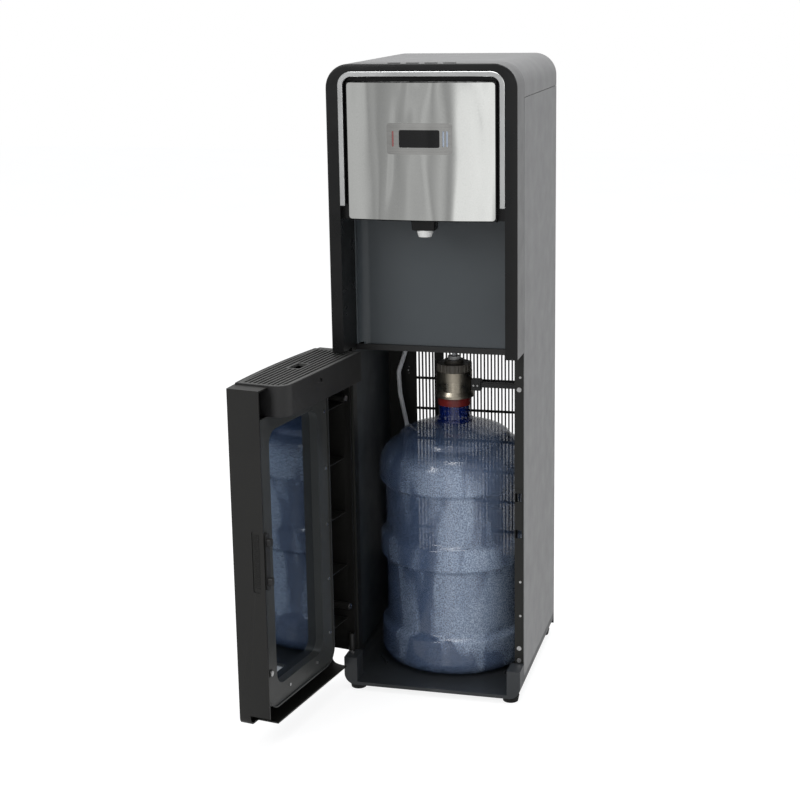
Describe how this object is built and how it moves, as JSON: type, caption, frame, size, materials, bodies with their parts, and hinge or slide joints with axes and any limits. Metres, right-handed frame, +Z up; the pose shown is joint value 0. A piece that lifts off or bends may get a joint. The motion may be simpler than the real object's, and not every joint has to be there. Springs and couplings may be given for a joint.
{
  "type": "bottom load water cooler",
  "caption": "Tall cabinet water cooler with a hinged door, a bottle bay below, and a lit alcove with a spout above.",
  "frame": {"origin": "on the floor under the centre of the cabinet's footprint", "axes": "+Z up, the front with the door and alcove faces -Y, +X is the viewer's right"},
  "size_m": [0.4055, 0.6249, 1.076],
  "materials": {
    "grey_coat": "satin powder coat, fine texture",
    "grey_moulding": "satin moulded grey",
    "black_face": "semi-gloss moulded black",
    "black_door": "deep gloss black",
    "black_moulding": "fine matt moulded black",
    "slate_panel": "satin dark slate",
    "steel_face": "fine vertical brush",
    "bright_trim": "bright plated",
    "display_dark": "glossy dark window",
    "steel_surround": "fine vertical brush",
    "lamp_lens": "translucent lens",
    "white_moulding": "satin white",
    "black_steel": "satin black coat",
    "black_liner": "fine matt black sheet",
    "galvanised": "dull zinc",
    "dark_pane": "smoked mirror-like pane",
    "bottle_blue": "clear blue tint",
    "cap_red": "satin red",
    "probe_metal": "satin champagne",
    "hose_white": "milky white hose",
    "coil_black": "black enamel",
    "copper_line": "drawn copper",
    "foam_jacket": "pale foam jacket",
    "rubber_black": "matt rubber",
    "screw_metal": "bright zinc",
    "board_green": "coated board",
    "rocker_red": "satin red",
    "grille_dark": "satin dark grey"
  },
  "bodies": {
    "cabinet": {"arm_pins": "screw_metal", "base_pan": "black_moulding", "bezel": "black_face", "bottle": "bottle_blue", "bottle_cap": "cap_red", "button_board": "board_green", "chrome_trim": "bright_trim", "cold_tank": "foam_jacket", "compressor": "coil_black", "compressor_grommets": "rubber_black", "condenser_tube": "coil_black", "condenser_wires": "coil_black", "control_board": "board_green", "cord_gland": "rubber_black", "dip_tube": "hose_white", "display_plate": "steel_surround", "display_window": "display_dark", "drain_cap": "white_moulding", "drain_hose": "hose_white", "fascia_housing": "black_moulding", "fascia_plate": "steel_face", "feet": "rubber_black", "front_frame": "grey_moulding", "front_posts": "black_steel", "hinge_pins": "screw_metal", "hot_tank": "foam_jacket", "indicator_lamps": "lamp_lens", "mid_shelf": "black_moulding", "post_screws": "screw_metal", "probe_arm": "black_moulding", "probe_cap": "probe_metal", "probe_collar": "probe_metal", "probe_fitting": "white_moulding", "rear_cover": "grey_coat", "rear_frame": "black_steel", "refrigerant_lines": "copper_line", "side_liners": "black_liner", "side_panel_left": "grey_coat", "side_panel_right": "grey_coat", "splash_panel": "slate_panel", "spout_housing": "black_moulding", "spout_nozzle": "white_moulding", "strike_plate": "black_steel", "switch_frame": "black_moulding", "tank_bracket": "galvanised", "top_cover": "grey_moulding", "water_lines": "hose_white", "water_pump": "white_moulding"},
    "door": {"door_shell": "black_door", "door_inner_frame": "black_moulding", "door_pane": "dark_pane", "door_screws": "screw_metal", "door_catch": "black_moulding", "drip_tray": "black_moulding", "drip_grille": "grille_dark"},
    "rocker": {"hot_switch": "rocker_red"},
    "key_1": {"button_1": "black_face"},
    "key_2": {"button_2": "black_face"},
    "key_3": {"button_3": "black_face"},
    "key_4": {"button_4": "black_face"}
  },
  "joints": [
    {"name": "door_swing", "type": "hinge", "parent": "cabinet", "child": "door", "pos_m": [-0.149, -0.133, 0.3], "axis": [0, 0, 1], "range_deg": [-5, 100]},
    {"name": "button_1_press", "type": "slide", "parent": "cabinet", "child": "key_1", "axis": [0, 0, -1], "range_m": [0, 0.0014], "stiffness_N_per_m": 150, "springref_m": -0.001},
    {"name": "button_2_press", "type": "slide", "parent": "cabinet", "child": "key_2", "axis": [0, 0, -1], "range_m": [0, 0.0014], "stiffness_N_per_m": 150, "springref_m": -0.001},
    {"name": "button_3_press", "type": "slide", "parent": "cabinet", "child": "key_3", "axis": [0, 0, -1], "range_m": [0, 0.0014], "stiffness_N_per_m": 150, "springref_m": -0.001},
    {"name": "button_4_press", "type": "slide", "parent": "cabinet", "child": "key_4", "axis": [0, 0, -1], "range_m": [0, 0.0014], "stiffness_N_per_m": 150, "springref_m": -0.001},
    {"name": "switch_rock", "type": "hinge", "parent": "cabinet", "child": "rocker", "pos_m": [0.1, 0.1595, 0.94], "axis": [1, 0, 0], "range_deg": [-14, 0]}
  ]
}
